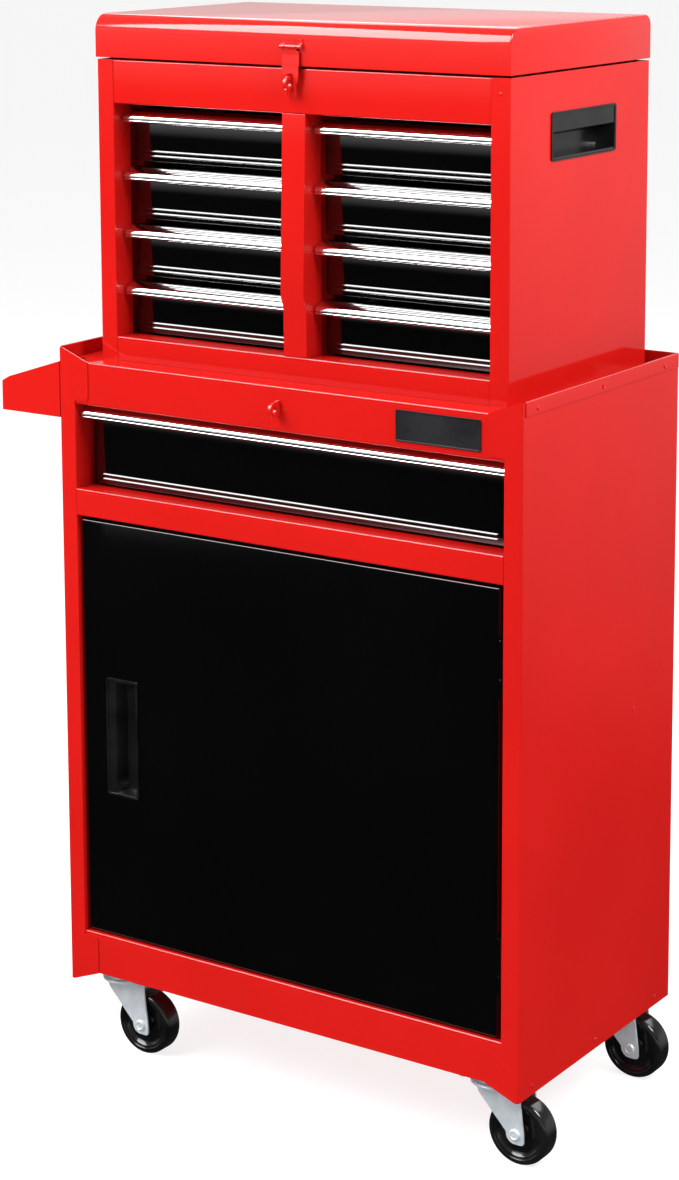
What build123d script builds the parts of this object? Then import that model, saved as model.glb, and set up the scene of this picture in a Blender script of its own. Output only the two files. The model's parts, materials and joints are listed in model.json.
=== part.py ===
"""Rolling tool chest: a removable eight-drawer top chest on a cabinet with a drawer, a door and casters.

Millimetres. The model is laid out with x = 0 on the cabinet's centre line, y = 0 on the front of its
folded stiles and z = 0 on the floor. At the end every piece is moved so that the origin is the centre
of the whole object's box, at floor level.
"""
from build123d import *
import os

# ---- sheet and general ----
sheet = 1.0
bend = 2.2
hem_radius = 0.45
open_end = 400.0

# ---- rolling cabinet ----
cabinet_width = 525.0
cabinet_depth = 295.0
cabinet_foot = 72.0
cabinet_head = 723.0
corner_step = 12.0
rail_foot = cabinet_foot + corner_step
rail_head = 710.0
stile_width = 19.0
cabinet_jamb = 30.0
tab_width = 35.5
tab_height = 39.0
tab_corner = 5.0
door_opening = (126.5, 556.0)
drawer_opening = (583.0, 667.5)
well_hem = 13.5
rail_return = 20.0
middle_rail_return = 28.0
name_plate_x = (130.0, 219.5)
name_plate_z = (674.0, 703.0)
name_plate_proud = 0.2

# ---- top chest ----
chest_width = 462.0
chest_depth = 258.0
chest_front = 28.0
chest_head = 1003.0
chest_opening = (733.5, 961.0)
chest_stile = 19.5
chest_jamb = 26.0
chest_setback = 0.6
post_width = 26.0
post_lean = 4.6
post_joggle = (777.0, 792.0)
tray_level = 969.0
chest_rail_return = 24.0
chest_rail_lip = 8.0
slide_post_depth = 14.0
slide_post_front = 16.0
slide_post_back = 31.0

# ---- lid ----
lid_gap = 2.0
lid_height = 41.5
lid_overhang = 1.0
lid_front_radius = 16.0
lid_back_radius = 11.0
lid_hinge_starts = (-165.0, 105.0)
lid_hinge_third = 20.0
lid_hinge_behind = 4.2
lid_hinge_above = 1.15
lid_hinge_radius = 2.2
lid_hinge_pin_radius = 1.1
lid_hinge_leaf = 20.0

# ---- drawers and pulls ----
row_count = 4
row_pitch = 56.2
first_row_top = 955.3
small_front_height = 51.5
small_front_recess = 26.0
small_pull_gap = 2.5
small_depth = 222.0
wide_front_recess = 20.0
wide_front_top = 666.0
wide_front_height = 80.0
wide_half_width = 236.5
wide_pull_half = 240.5
wide_depth = 255.0
front_pan_depth = 12.0
front_corner = 5.0
bead_radius = 1.4
bead_rises = (4.8, 9.3)
bead_inset = 11.0
pull_reach = 14.0
pull_height = 12.0
pull_wall = 1.4
pull_flange = 14.0
lip_bead_radius = 1.1
runner_drop = 17.0
runner_height = 6.0
runner_room = 7.0
runner_play = 0.4
wide_edge = 8.5

# ---- door ----
door_left = -241.0
door_right = 237.5
door_front = 4.0
door_thickness = 16.0
door_gap_low = 2.0
door_gap_high = 4.0
door_edge_radius = 1.6
catch_width = 16.0
catch_back = 32.0
catch_z = (325.0, 365.0)
hinge_x = 240.5
hinge_y = 3.0
hinge_radius = 2.5
hinge_pin_radius = 1.25
pin_play = 0.05
hinge_length = 54.0
hinge_feet = (172.0, 451.0)
knuckle_play = 0.4

# ---- handle cups ----
cup_length = 120.0
cup_height = 44.0
cup_depth = 20.0
cup_rim = 2.0
cup_wall = 1.5
cup_band = 15.0
cup_taper = 4.5
side_cup_start = 100.0
side_cup_foot = 923.5
door_cup_low = 275.0
door_cup_left = -213.0
door_cup_width = 39.0
door_cup_depth = 12.0
door_cup_band = 9.0

# ---- hasp and padlock staples ----
hasp_pin_y = 24.5
hasp_pin_z = 1022.8
hasp_knuckle_radius = 2.0
hasp_pin_radius = 1.0
hasp_width = 18.6
hasp_bracket_width = 24.0
hasp_foot = 976.5
hasp_slot_head = 998.0
hasp_slot_width = 6.4
hasp_sheet = 1.2
staple_thickness = 3.6
staple_reach = 15.5
staple_height = 16.0
staple_hole = 3.2
staple_round = 6.5
chest_staple_z = 989.5
cabinet_staple_z = 689.5

# ---- side tray ----
tray_reach = 74.0
tray_foot = 652.0
tray_inner_head = 708.0
tray_outer_head = 681.5
tray_chamfer = 9.5
tray_length = 290.0

# ---- casters ----
wheel_diameter = 63.5
wheel_width = 22.0
hub_width = 25.0
axle_radius = 3.0
axle_play = 0.06
caster_trail = 30.0
caster_x = 218.5
caster_front_y = 33.0
caster_back_y = 256.0
caster_plate = (60.0, 50.0, 2.5)
bolt_spacing = (46.0, 36.0)
crown_radius = 23.0
crown_head = 74.5
crown_thickness = 2.5
race_radius = 19.0
race_gap = 0.5
kingpin_radius = 5.0
kingpin_head_radius = 8.0
kingpin_head = 3.0
fork_front = -11.0
fork_reach = 34.0
axle_head_radius = 5.5
axle_head = 2.0
leg_inside = 13.0
leg_sheet = 2.0
leg_end = 9.5

half_cabinet = cabinet_width / 2
half_chest = chest_width / 2
cabinet_open = half_cabinet - stile_width
chest_open = half_chest - chest_stile
chest_back = chest_front + chest_depth
lid_foot = chest_head + lid_gap
wheel_radius = wheel_diameter / 2

nodes = {}


def block(x, y, z):
    """A box between the low and high values in x, y and z."""
    centre = Pos((x[0] + x[1]) / 2, (y[0] + y[1]) / 2, (z[0] + z[1]) / 2)
    return centre * Box(x[1] - x[0], y[1] - y[0], z[1] - z[0])


def along_x(points, x_low, x_high, rounds=()):
    """A prism along x of a (y, z) outline, with the named corners rounded."""
    face = make_face(Polyline([(p[0], p[1]) for p in points], close=True))
    face = rounded(face, points, rounds)
    return Pos(x_low, 0, 0) * extrude(Plane.YZ * face, x_high - x_low)


def along_y(points, y_low, y_high, rounds=()):
    """A prism along y of an (x, z) outline, with the named corners rounded."""
    face = make_face(Polyline([(p[0], -p[1]) for p in points], close=True))
    face = rounded(face, [(p[0], -p[1]) for p in points], rounds)
    turned = Plane((0, 0, 0), x_dir=(1, 0, 0), z_dir=(0, 1, 0))
    return Pos(0, y_low, 0) * extrude(turned * face, y_high - y_low)


def along_z(points, z_low, z_high, rounds=()):
    """A prism along z of an (x, y) outline, with the named corners rounded."""
    face = make_face(Polyline([(p[0], p[1]) for p in points], close=True))
    face = rounded(face, points, rounds)
    return Pos(0, 0, z_low) * extrude(face, z_high - z_low)


def rounded(face, points, rounds):
    """Fillet the corners of a flat outline: rounds is a list of (corner number, radius)."""
    for number, radius in rounds:
        target = Vector(points[number][0], points[number][1], 0)
        corner = min(face.vertices(), key=lambda v: (Vector(v.X, v.Y, v.Z) - target).length)
        face = fillet(corner, radius)
    return face


def group(pieces):
    """Separate solids that share one node, each already in its place."""
    return Compound([solid for piece in pieces for solid in piece.solids()])


def rod(start, direction, radius, length):
    """A round bar from a point, along +X, +Y or +Z."""
    plane = Plane(start, z_dir=direction)
    return extrude(plane * Circle(radius), length)


def mirrored(shape):
    """The same piece on the other side of the centre line."""
    return mirror(shape, Plane.YZ)


# ---------------------------------------------------------------- folded sheet walls
def folded_side(half, opening, front, back, foot, head, jamb, jamb_span):
    """A right-hand side wall folded round the front corner into a stile and a jamb."""
    outline = [
        (opening, front),
        (half, front),
        (half, back),
        (half - sheet, back),
        (half - sheet, front + sheet),
        (opening + sheet, front + sheet),
        (opening + sheet, front + jamb),
        (opening, front + jamb),
    ]
    rounds = [(0, sheet), (1, bend), (4, bend - sheet), (6, hem_radius), (7, hem_radius)]
    wall = along_z(outline, foot, head, rounds)
    margin = 2 * sheet
    for low, high in ((foot, jamb_span[0]), (jamb_span[1], head)):
        wall -= block((opening - margin, opening + margin), (front + sheet, back - margin), (low, high))
    return wall


def cabinet_side():
    """The right side of the cabinet, with the sloped corner tabs that lap the front rails."""
    head = cabinet_head - sheet
    wall = folded_side(half_cabinet, cabinet_open, 0, cabinet_depth, cabinet_foot, head,
                       cabinet_jamb, (rail_foot + sheet, rail_head - sheet))
    tab_x = half_cabinet - tab_width
    slope_end = half_cabinet - 2 * bend
    stile_x = cabinet_open + 2 * sheet
    for level, far in ((rail_head, head), (rail_foot, cabinet_foot)):
        inward = -1 if far > level else 1
        tab_end = level + inward * tab_height
        beyond = far - inward * 5
        tab = along_y([(tab_x, tab_end), (stile_x, tab_end), (stile_x, far), (tab_x, far)], 0, sheet,
                      [(0, tab_corner)])
        wall += tab
        waste = [(tab_x - 1, level), (tab_x, level), (slope_end, far), (slope_end, beyond)]
        waste.append((tab_x - 1, beyond))
        wall -= along_y(waste, -1, cabinet_jamb + 2)
    return wall


def rail(low, high, front, half, low_return, high_return):
    """A front rail: a flat face with returns folded back along its lower and upper edges."""
    outline = [(front, low), (front, high)]
    rounds = []
    if high_return:
        rounds.append((1, 1.5 * sheet))
        outline.append((front + high_return, high))
        outline.append((front + high_return, high - sheet))
        outline.append((front + sheet, high - sheet))
    else:
        outline.append((front + sheet, high))
    if low_return:
        rounds.append((0, 1.5 * sheet))
        outline.append((front + sheet, low + sheet))
        outline.append((front + low_return, low + sheet))
        outline.append((front + low_return, low))
    else:
        outline.append((front + sheet, low))
    return along_x(outline, -half, half, rounds)


def cabinet_well():
    """The pan that the top chest stands in, hemmed over the side walls and turned up at the back."""
    inner = half_cabinet - sheet
    back_y = (cabinet_depth - 2 * sheet, cabinet_depth - sheet)
    floor = block((-inner, inner), (sheet + rail_return, back_y[1]), (rail_head - sheet, rail_head))
    back = block((-inner, inner), back_y, (rail_head, cabinet_head))
    pan = floor + back
    hem = [
        (inner - sheet, rail_head - sheet),
        (inner - sheet, cabinet_head),
        (half_cabinet + sheet, cabinet_head),
        (half_cabinet + sheet, cabinet_head - well_hem),
        (half_cabinet, cabinet_head - well_hem),
        (half_cabinet, cabinet_head - sheet),
        (inner, cabinet_head - sheet),
        (inner, rail_head - sheet),
    ]
    right = along_y(hem, 2 * bend, cabinet_depth - sheet, [(1, sheet * 0.8), (2, sheet * 0.8)])
    return pan + right + mirrored(right)


def cabinet():
    side = cabinet_side()
    inner = half_cabinet - sheet
    nodes["cabinet_side_right"] = side
    nodes["cabinet_side_left"] = mirrored(side)
    back_y = cabinet_depth - sheet
    nodes["cabinet_back"] = block((-inner, inner), (back_y, cabinet_depth), (cabinet_foot, cabinet_head))
    nodes["cabinet_floor"] = block((-inner, inner), (2 * sheet, back_y), (rail_foot, rail_foot + sheet))
    nodes["cabinet_well"] = cabinet_well()
    top = rail(drawer_opening[1], rail_head, sheet, cabinet_open, cabinet_jamb, rail_return)
    middle = rail(door_opening[1], drawer_opening[0], 0, cabinet_open, rail_return, middle_rail_return)
    bottom = rail(rail_foot, door_opening[0], sheet, cabinet_open, 0, rail_return)
    nodes["cabinet_rails"] = group([top, middle, bottom])
    nodes["name_plate"] = block(name_plate_x, (-name_plate_proud, sheet), name_plate_z)
    nodes["cabinet_staple"] = staple(sheet, cabinet_staple_z)
    catch_x = (-cabinet_open, -cabinet_open + catch_width)
    catch_y = (door_front + door_thickness + 0.4, catch_back)
    nodes["door_catch"] = block(catch_x, catch_y, catch_z)


# ---------------------------------------------------------------- staples, hasp
def staple(face, height):
    """A padlock staple: an upright eye standing out of the sheet, with its hole along x."""
    tip = face - staple_reach
    hole_y = tip + staple_round
    base = staple_height / 2
    outline = [(face, height - base), (hole_y, height - staple_round), (tip, height - staple_round)]
    outline += [(tip, height + staple_round), (hole_y, height + staple_round), (face, height + base)]
    rounds = [(2, staple_round - 0.1), (3, staple_round - 0.1)]
    half = staple_thickness / 2
    eye = along_x(outline, -half, half, rounds)
    return eye - rod((-half - 1, hole_y, height), (1, 0, 0), staple_hole, staple_thickness + 2)


def hasp():
    """The bracket and pin on the lid, and the flap that drops over the chest's staple."""
    half = hasp_bracket_width / 2
    middle = half - 5
    lid_face = chest_front - lid_overhang
    bracket = block((-half, half), (lid_face - sheet, lid_face), (hasp_pin_z + 2.4, hasp_pin_z + 7))
    for low, high in ((-half, -middle), (middle, half)):
        start = (low, hasp_pin_y, hasp_pin_z)
        bracket += rod(start, (1, 0, 0), hasp_knuckle_radius, high - low)
        bracket += block((low, high), (hasp_pin_y, lid_face), (hasp_pin_z + 0.6, hasp_pin_z + 3))
    bracket -= rod((-half - 1, hasp_pin_y, hasp_pin_z), (1, 0, 0), hasp_pin_radius, 2 * half + 2)
    pin = rod((-half, hasp_pin_y, hasp_pin_z), (1, 0, 0), hasp_pin_radius, 2 * half)
    nodes["hasp_bracket"] = group([bracket, pin])

    neck = middle - knuckle_play
    wide = hasp_width / 2
    foot = wide - 2.3
    slot = hasp_slot_width / 2
    shoulder = hasp_pin_z - 4
    taper = hasp_slot_head - 5
    outline = [(-neck, hasp_pin_z), (-neck, shoulder), (-wide, shoulder - 1), (-wide, taper)]
    outline += [(-foot, taper - 5), (-foot, hasp_foot), (-slot, hasp_foot), (-slot, hasp_slot_head)]
    outline += [(-x, z) for x, z in reversed(outline)]
    rounds = [(3, 3), (5, 2), (7, 2), (8, 2), (10, 2), (12, 3)]
    leaf_y = (hasp_pin_y - hasp_sheet / 2, hasp_pin_y + hasp_sheet / 2)
    flap = along_y(outline, leaf_y[0], leaf_y[1], rounds)
    flap += rod((-neck, hasp_pin_y, hasp_pin_z), (1, 0, 0), hasp_knuckle_radius, 2 * neck)
    flap -= rod((-neck - 1, hasp_pin_y, hasp_pin_z), (1, 0, 0), hasp_pin_radius + pin_play, 2 * neck + 2)
    nodes["hasp_flap"] = flap


# ---------------------------------------------------------------- top chest
def chest_side():
    side = folded_side(half_chest, chest_open, chest_front, chest_back, rail_head, chest_head,
                       chest_jamb, (rail_head + sheet, tray_level))
    hole_y = (side_cup_start + cup_rim, side_cup_start + cup_length - cup_rim)
    hole_z = (side_cup_foot + cup_rim, side_cup_foot + cup_height - cup_rim)
    return side - block((half_chest - 5, half_chest + 5), hole_y, hole_z)


def centre_post():
    """The channel between the two columns of drawers: it leans out a little and steps back near its foot."""
    half = post_width / 2
    low, high = chest_opening
    back = chest_front + chest_jamb
    front = chest_front + 0.2

    def section(offset, rear):
        lean = front - post_lean + offset
        return [
            (rear, low),
            (front + offset, low),
            (front + offset, post_joggle[0]),
            (lean, post_joggle[1]),
            (front + offset, high),
            (rear, high),
        ]

    outer = along_x(section(0, back), -half, half)
    return outer - along_x(section(sheet, back + 5), -half + sheet, half - sheet)


def handle_cup(length, height, depth, band):
    """A grab cup lying along y, its mouth towards +x at x = 0: rim, closed band and tapered pocket."""
    pocket_foot = cup_rim + 1
    pocket_head = height - cup_rim - band
    rim = block((0, cup_wall), (0, length), (0, height))
    rim -= block((cup_wall - 0.7, cup_wall + 1), (cup_rim, length - cup_rim), (cup_rim, height - cup_rim))
    shell_z = (pocket_foot - 1, pocket_head + 1)
    shell = [(0.5, shell_z[0]), (0.5, shell_z[1])]
    shell += [(-depth, shell_z[1] - cup_taper), (-depth, shell_z[0] + cup_taper)]
    wall = cup_wall
    cup = rim + along_y(shell, cup_rim + 0.5, length - cup_rim - 0.5)
    hollow = [(cup_wall + 1, pocket_foot), (cup_wall + 1, pocket_head)]
    hollow += [(-depth + wall, pocket_head - cup_taper), (-depth + wall, pocket_foot + cup_taper)]
    return cup - along_y(hollow, cup_rim + 0.5 + wall, length - cup_rim - 0.5 - wall)


def runner(x_wall, inward, level, y_span):
    """A drawer runner: a small channel with its open side towards the drawer."""
    web = (x_wall, x_wall + inward * sheet)
    lip = (x_wall, x_wall + inward * (runner_room - 0.7))
    web = (min(web), max(web))
    lip = (min(lip), max(lip))
    high = level + runner_height
    channel = block(web, y_span, (level, high)) + block(lip, y_span, (level, level + sheet))
    return channel + block(lip, y_span, (high - sheet, high))


def drawer(left, right, top, height, front, depth, pan_edge):
    """A folded drawer: a beaded front pan with a box behind it and a turned-out edge along each side."""
    foot = top - height
    rear = front + depth
    pan = block((left, right), (front, front + front_pan_depth), (foot, top))
    pan = fillet(pan.edges().filter_by(Axis.Z).group_by(Axis.Y)[0], front_corner)
    inside_x = (left + sheet, right - sheet)
    pan -= block(inside_x, (front + sheet, front + open_end), (foot + sheet, top - sheet))
    box_x = (left + pan_edge, right - pan_edge)
    side_top = runner_level(top + sheet) + sheet + runner_play
    box_y = (front + front_pan_depth - sheet, rear)
    box = block(box_x, box_y, (foot + sheet, side_top + sheet))
    box += block(box_x, (box_y[0], box_y[0] + sheet), (foot + sheet, top - sheet))
    edge_y = (front + 1.5 * front_pan_depth + 2 * sheet, rear)
    edge_x = (box_x[0] - runner_room + 2.2, box_x[1] + runner_room - 2.2)
    box += block(edge_x, edge_y, (side_top, side_top + sheet))
    hollow_y = (box_y[0] + sheet, rear - sheet)
    box -= block((box_x[0] + sheet, box_x[1] - sheet), hollow_y, (foot + 2 * sheet, top + 5))
    tray = pan + box
    for rise in bead_rises:
        start = (left + bead_inset, front + 0.5, foot + rise)
        tray += rod(start, (1, 0, 0), bead_radius, right - left - 2 * bead_inset)
    return tray


def runner_level(top):
    """The foot of the runner that carries a drawer whose front ends at this height."""
    return top - runner_drop


def pull(left, right, top, front):
    """An extruded pull along the top of a drawer front: back flange, rounded hood and beaded lip."""
    lip = front - pull_reach
    lip_z = top - pull_height
    outline = [
        (front, top),
        (lip, top),
        (lip, lip_z),
        (lip + pull_wall, lip_z),
        (lip + pull_wall, top - pull_wall),
        (front - pull_wall, top - pull_wall),
        (front - pull_wall, top - pull_flange),
        (front, top - pull_flange),
    ]
    outer = pull_height - 2.0
    hood = along_x(outline, left, right, [(1, outer), (4, outer - pull_wall)])
    bead_start = (left, lip + lip_bead_radius, lip_z + 0.4)
    return hood + rod(bead_start, (1, 0, 0), lip_bead_radius, right - left)


def chest():
    side = chest_side()
    nodes["chest_side_right"] = side
    nodes["chest_side_left"] = mirrored(side)
    inner = half_chest - sheet
    back_y = (chest_back - sheet, chest_back)
    nodes["chest_back"] = block((-inner, inner), back_y, (rail_head, chest_head))
    floor_y = (chest_front + bend + sheet, back_y[0])
    nodes["chest_bottom"] = block((-inner, inner), floor_y, (rail_head, rail_head + sheet))
    face = chest_front + chest_setback
    top = rail(chest_opening[1], chest_head, face, chest_open, chest_rail_return, chest_rail_lip)
    bottom = rail(rail_head, chest_opening[0], face, chest_open, 0, chest_rail_return)
    nodes["chest_rails"] = group([top, bottom])
    nodes["chest_centre_post"] = centre_post()
    nodes["chest_tray_floor"] = block((-inner, inner), floor_y, (tray_level, tray_level + sheet))
    nodes["chest_staple"] = staple(face, chest_staple_z)
    cup = handle_cup(cup_length, cup_height, cup_depth, cup_band)
    cup_right = Pos(half_chest, side_cup_start, side_cup_foot) * cup
    nodes["chest_handle_cups"] = group([cup_right, mirrored(cup_right)])


def slide_post(x_low, x_high, y):
    """An upright channel, open towards the back, that the drawer runners are riveted to."""
    height = (rail_head + sheet, tray_level)
    outer = block((x_low, x_high), (y, y + slide_post_depth), height)
    return outer - block((x_low + sheet, x_high - sheet), (y + sheet, y + slide_post_depth + 1), height)


def small_drawers():
    """Four rows of drawers in two columns, with their runners and the posts that hold the runners."""
    front = chest_front + small_front_recess
    column = (post_width / 2 + small_pull_gap - 0.5, chest_open - small_pull_gap)
    posts = []
    runners = []
    box_edge = column[0] + 1 + runner_room
    far_edge = column[1] - 1 - runner_room
    inner_wall = box_edge - runner_room
    outer_wall = far_edge + runner_room
    for y in (front + slide_post_front, chest_back - slide_post_back):
        right = slide_post(outer_wall, half_chest - sheet, y)
        posts += [slide_post(-inner_wall, inner_wall, y), right, mirrored(right)]
    runner_y = (front + slide_post_front, front + small_depth)
    for row in range(row_count):
        top = first_row_top - row * row_pitch
        level = runner_level(top)
        near = runner(inner_wall, 1, level, runner_y)
        far = runner(outer_wall, -1, level, runner_y)
        runners += [near, far, mirrored(near), mirrored(far)]
        body = drawer(column[0] + 1, column[1] - 1, top - sheet, small_front_height - sheet, front,
                      small_depth, runner_room)
        grip = pull(column[0], column[1], top, front)
        nodes[f"drawer_right_{row + 1}"] = body
        nodes[f"drawer_left_{row + 1}"] = mirrored(body)
        nodes[f"pull_right_{row + 1}"] = grip
        nodes[f"pull_left_{row + 1}"] = mirrored(grip)
    nodes["chest_slide_posts"] = group(posts)
    nodes["chest_runners"] = group(runners)


def wide_drawer():
    front = wide_front_recess
    nodes["wide_drawer"] = drawer(-wide_half_width, wide_half_width, wide_front_top - sheet,
                                  wide_front_height - sheet, front, wide_depth, wide_edge)
    nodes["wide_drawer_pull"] = pull(-wide_pull_half, wide_pull_half, wide_front_top, front)
    wall = wide_half_width - wide_edge + runner_room
    level = runner_level(wide_front_top)
    span = (cabinet_jamb + 6, front + wide_depth)
    bracket = block((wall, half_cabinet - sheet), span, (level, level + sheet))
    bracket_x = (half_cabinet - 2 * sheet, half_cabinet - sheet)
    bracket += block(bracket_x, span, (level, level + 3 * runner_height))
    right = bracket + runner(wall, -1, level, span)
    nodes["cabinet_runners"] = group([right, mirrored(right)])


# ---------------------------------------------------------------- lid and hinges
def lid():
    """A folded lid with a large radius along its front edge and a smaller one along the back."""
    half = half_chest + lid_overhang
    front = chest_front - lid_overhang
    back = chest_back + 1.5 * lid_overhang
    top = lid_foot + lid_height
    outer = [(front, lid_foot), (front, top), (back, top), (back, lid_foot)]
    shell = along_x(outer, -half, half, [(1, lid_front_radius), (2, lid_back_radius)])
    inside = [(front + sheet, lid_foot - 1), (front + sheet, top - sheet), (back - sheet, top - sheet)]
    inside.append((back - sheet, lid_foot - 1))
    rounds = [(1, lid_front_radius - sheet), (2, lid_back_radius - sheet)]
    return shell - along_x(inside, -half + sheet, half - sheet, rounds)


def lid_hinges():
    """Two butt hinges along the back of the lid: chest leaves with their pins, and lid leaves."""
    axis_y = chest_back + lid_hinge_behind
    axis_z = chest_head + lid_hinge_above
    radius = lid_hinge_radius
    pin_radius = lid_hinge_pin_radius
    third = lid_hinge_third
    chest_parts = []
    lid_parts = []
    lid_back = chest_back + 1.5 * lid_overhang
    for start in lid_hinge_starts:
        ends = (start, start + third, start + 2 * third, start + 3 * third)
        leaf = block((ends[0], ends[3]), (chest_back, chest_back + sheet),
                     (axis_z - lid_hinge_leaf, axis_z - 3))
        for low, high in ((ends[0], ends[1] - knuckle_play), (ends[2] + knuckle_play, ends[3])):
            leaf += rod((low, axis_y, axis_z), (1, 0, 0), radius, high - low)
            leaf += block((low, high), (chest_back, axis_y), (axis_z - 3.2, axis_z - 1.5))
        leaf -= rod((ends[0] - 1, axis_y, axis_z), (1, 0, 0), pin_radius, 3 * third + 2)
        pin = rod((ends[0], axis_y, axis_z), (1, 0, 0), pin_radius, 3 * third)
        chest_parts += [leaf, pin]
        plate = block((ends[0], ends[3]), (lid_back, lid_back + sheet),
                      (axis_z + 3, axis_z + lid_hinge_leaf))
        plate += rod((ends[1], axis_y, axis_z), (1, 0, 0), radius, third)
        plate += block((ends[1], ends[2]), (lid_back, axis_y), (axis_z + 1.5, axis_z + 3.2))
        plate -= rod((ends[1] - 1, axis_y, axis_z), (1, 0, 0), pin_radius + pin_play, third + 2)
        lid_parts.append(plate)
    nodes["lid_hinge_chest_halves"] = group(chest_parts)
    nodes["lid_hinge_lid_leaves"] = group(lid_parts)


# ---------------------------------------------------------------- door
def door():
    x = (door_left, door_right)
    y = (door_front, door_front + door_thickness)
    z = (door_opening[0] + door_gap_low, door_opening[1] - door_gap_high)
    skin = block(x, y, z)
    skin = fillet(skin.edges().group_by(Axis.Y)[0], door_edge_radius)
    inside_x = (x[0] + sheet, x[1] - sheet)
    inside_z = (z[0] + sheet, z[1] - sheet)
    skin -= block(inside_x, (y[0] + sheet, y[1] + 5), inside_z)
    hole_x = (door_cup_left + cup_rim, door_cup_left + door_cup_width - cup_rim)
    hole_z = (door_cup_low + cup_rim, door_cup_low + cup_length - cup_rim)
    skin -= block(hole_x, (y[0] - 1, y[0] + 2 * sheet), hole_z)
    nodes["door_skin"] = skin
    nodes["door_inner_panel"] = block(inside_x, (y[1] - sheet, y[1]), inside_z)
    cup = handle_cup(cup_length, door_cup_width, door_cup_depth, door_cup_band)
    upright = Rot(0, 0, -90) * (Rot(90, 0, 0) * cup)
    low = upright.bounding_box().min
    moved = Pos(door_cup_left - low.X, door_front - cup_wall - low.Y, door_cup_low - low.Z)
    nodes["door_handle_cup"] = moved * upright


def door_hinges():
    """Two butt hinges on the door's right edge: frame leaves with their pins, and door leaves."""
    third = hinge_length / 3
    frame_parts = []
    door_parts = []
    for foot in hinge_feet:
        ends = (foot, foot + third, foot + 2 * third, foot + hinge_length)
        leaf_x = (cabinet_open - sheet, cabinet_open)
        leaf = block(leaf_x, (hinge_y + 3, hinge_y + 23), (ends[0], ends[3]))
        for low, high in ((ends[0], ends[1] - knuckle_play), (ends[2] + knuckle_play, ends[3])):
            leaf += rod((hinge_x, hinge_y, low), (0, 0, 1), hinge_radius, high - low)
            leaf += block((hinge_x + 1, cabinet_open), (hinge_y, hinge_y + 3.5), (low, high))
        leaf -= rod((hinge_x, hinge_y, foot - 1), (0, 0, 1), hinge_pin_radius, hinge_length + 2)
        pin = rod((hinge_x, hinge_y, foot), (0, 0, 1), hinge_pin_radius, hinge_length)
        frame_parts += [leaf, pin]
        plate_y = (hinge_y + 3, door_front + door_thickness - 1)
        plate = block((door_right, door_right + sheet), plate_y, (ends[0], ends[3]))
        plate += rod((hinge_x, hinge_y, ends[1]), (0, 0, 1), hinge_radius, third)
        plate += block((door_right, hinge_x - 1), (hinge_y + 0.5, hinge_y + 3.5), (ends[1], ends[2]))
        plate -= rod((hinge_x, hinge_y, ends[1] - 1), (0, 0, 1), hinge_pin_radius + pin_play, third + 2)
        door_parts.append(plate)
    nodes["door_hinge_frame_halves"] = group(frame_parts)
    nodes["door_hinge_door_leaves"] = group(door_parts)


# ---------------------------------------------------------------- side tray
def side_tray():
    """An open tray hooked on the left side wall, with sloped ends."""
    wall = -half_cabinet
    outer = wall - tray_reach
    end = [
        (wall, tray_foot),
        (outer, tray_foot),
        (outer, tray_outer_head),
        (outer + tray_chamfer, tray_outer_head + tray_chamfer * 0.55),
        (wall, tray_inner_head),
    ]
    tray = along_y(end, 0, tray_length)
    inside = [(wall - sheet, tray_foot + sheet), (outer + sheet, tray_foot + sheet)]
    inside += [(outer + sheet, cabinet_head), (wall - sheet, cabinet_head)]
    tray -= along_y(inside, sheet, tray_length - sheet)
    nodes["side_tray"] = tray


# ---------------------------------------------------------------- casters
def caster_positions():
    return {
        "front_left": (-caster_x, caster_front_y),
        "front_right": (caster_x, caster_front_y),
        "back_left": (-caster_x, caster_back_y),
        "back_right": (caster_x, caster_back_y),
    }


def top_plate():
    """The fixed half of a caster: bolted plate, ball race and the kingpin riveted under the fork's crown."""
    length, breadth, thickness = caster_plate
    under = rail_foot - thickness
    plate = block((-length / 2, length / 2), (-breadth / 2, breadth / 2), (under, rail_foot))
    plate = fillet(plate.edges().filter_by(Axis.Z), 4)
    race_foot = crown_head + race_gap
    plate += rod((0, 0, race_foot), (0, 0, 1), race_radius, under - race_foot)
    head = crown_head - crown_thickness - 0.3
    plate += rod((0, 0, head - 1), (0, 0, 1), kingpin_radius, race_foot - head + 2)
    return plate + rod((0, 0, head - kingpin_head), (0, 0, 1), kingpin_head_radius, kingpin_head)


def plate_bolts():
    """Four bolts through a caster's plate, heads below it."""
    bolts = []
    under = rail_foot - caster_plate[2]
    for x in (-bolt_spacing[0] / 2, bolt_spacing[0] / 2):
        for y in (-bolt_spacing[1] / 2, bolt_spacing[1] / 2):
            hexagon = extrude(Plane((x, y, under - 3.5)) * RegularPolygon(4.6, 6), 3.5)
            bolts.append(hexagon)
    return bolts


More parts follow.
